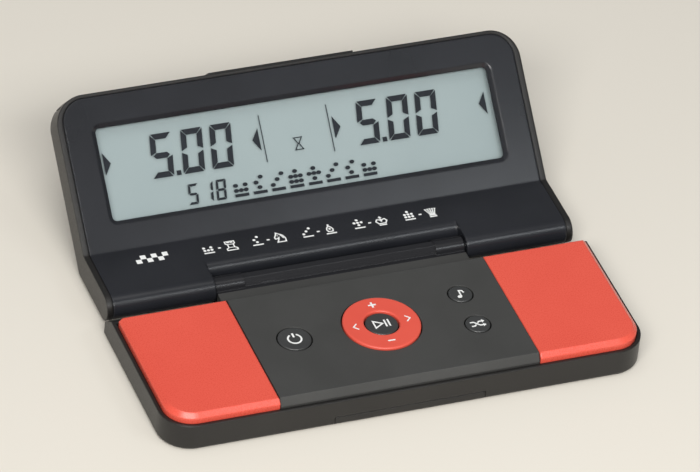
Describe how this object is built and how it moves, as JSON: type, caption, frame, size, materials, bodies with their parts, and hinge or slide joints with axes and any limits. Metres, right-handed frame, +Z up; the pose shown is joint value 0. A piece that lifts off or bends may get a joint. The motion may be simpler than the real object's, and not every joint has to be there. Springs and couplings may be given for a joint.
{
  "type": "folding pocket game clock",
  "caption": "Folding pocket game clock: black clamshell with a hinged display lid, large red player keys, a red direction ring and small round keys.",
  "frame": {"origin": "middle of the bottom of the opened clock's bounding box, on the table", "axes": "X along the hinge line to the player's right, -Y towards the front edge with the keys, +Z up"},
  "size_m": [0.1314, 0.1063, 0.0367],
  "materials": {
    "shell": "satin",
    "deck": "satin",
    "bezel": "semi-gloss",
    "player_keys": "satin gloss",
    "round_keys": "glossy",
    "red_ring": "satin gloss",
    "clear_pane": "clear, polished",
    "lcd": "grey-green",
    "reflector": "matt",
    "inner_plastic": "matt",
    "board": "satin",
    "chip": "matt",
    "rubber": "matt",
    "steel": "bright",
    "contact": "bright",
    "wire": "satin"
  },
  "bodies": {
    "base": {"back_left_foot": "rubber", "back_left_screw": "steel", "back_right_foot": "rubber", "back_right_screw": "steel", "base_bottom_shell": "shell", "buzzer": "chip", "controller_chip": "chip", "deck_plate": "deck", "front_left_foot": "rubber", "front_left_screw": "steel", "front_right_foot": "rubber", "front_right_screw": "steel", "hinge_bridge": "deck", "hinge_wires": "wire", "keypad_mat": "rubber", "left_coin_cell": "steel", "left_edge_contact": "contact", "left_key_switch": "chip", "left_top_contact": "contact", "main_circuit_board": "board", "play_key_dome": "rubber", "right_coin_cell": "steel", "right_edge_contact": "contact", "right_key_switch": "chip", "right_top_contact": "contact", "ring_holder": "inner_plastic", "timing_crystal": "steel", "wire_plug": "inner_plastic"},
    "lid": {"display_board": "board", "display_contact_strip": "rubber", "display_driver": "chip", "display_frame": "inner_plastic", "display_window": "clear_pane", "display_wires": "wire", "lcd_glass": "lcd", "lcd_reflector": "reflector", "left_hinge_pin": "steel", "left_lid_foot": "rubber", "lid_front_bezel": "bezel", "lid_lower_left_screw": "steel", "lid_lower_right_screw": "steel", "lid_rear_shell": "shell", "lid_upper_left_screw": "steel", "lid_upper_right_screw": "steel", "right_hinge_pin": "steel", "right_lid_foot": "rubber"},
    "left_key": {"left_player_key": "player_keys"},
    "right_key": {"right_player_key": "player_keys"},
    "power_button": {"power_key": "round_keys"},
    "sound_button": {"sound_key": "round_keys"},
    "shuffle_button": {"shuffle_key": "round_keys"},
    "play_button": {"play_pause_key": "round_keys"},
    "ring": {"adjust_ring": "red_ring"},
    "pivot": {"ring_pivot": "inner_plastic"},
    "door": {"battery_door": "shell"}
  },
  "joints": [
    {"name": "lid_hinge", "type": "hinge", "parent": "base", "child": "lid", "pos_m": [0, 0.00095, 0.00516], "axis": [1, 0, 0], "range_deg": [0, 137]},
    {"name": "left_key_press", "type": "slide", "parent": "base", "child": "left_key", "axis": [0, 0, -1], "range_m": [0, 0.001], "stiffness_N_per_m": 800, "springref_m": -0.0004},
    {"name": "right_key_press", "type": "slide", "parent": "base", "child": "right_key", "axis": [0, 0, -1], "range_m": [0, 0.001], "stiffness_N_per_m": 800, "springref_m": -0.0004},
    {"name": "power_press", "type": "slide", "parent": "base", "child": "power_button", "axis": [0, 0, -1], "range_m": [0, 0.0006], "stiffness_N_per_m": 900, "springref_m": -0.0003},
    {"name": "sound_press", "type": "slide", "parent": "base", "child": "sound_button", "axis": [0, 0, -1], "range_m": [0, 0.0006], "stiffness_N_per_m": 900, "springref_m": -0.0003},
    {"name": "shuffle_press", "type": "slide", "parent": "base", "child": "shuffle_button", "axis": [0, 0, -1], "range_m": [0, 0.0006], "stiffness_N_per_m": 900, "springref_m": -0.0003},
    {"name": "play_press", "type": "slide", "parent": "base", "child": "play_button", "axis": [0, 0, -1], "range_m": [0, 0.0006], "stiffness_N_per_m": 900, "springref_m": -0.0003},
    {"name": "pivot_tilt", "type": "hinge", "parent": "base", "child": "pivot", "pos_m": [0, -0.02985, 0.008], "axis": [1, 0, 0], "range_deg": [-3, 3], "stiffness_Nm_per_rad": 0.12},
    {"name": "ring_tilt", "type": "hinge", "parent": "pivot", "child": "ring", "pos_m": [0, -0.02985, 0.008], "axis": [0, 1, 0], "range_deg": [-3, 3], "stiffness_Nm_per_rad": 0.12},
    {"name": "door_slide", "type": "slide", "parent": "base", "child": "door", "axis": [0, -1, 0], "range_m": [0, 0.03]}
  ]
}
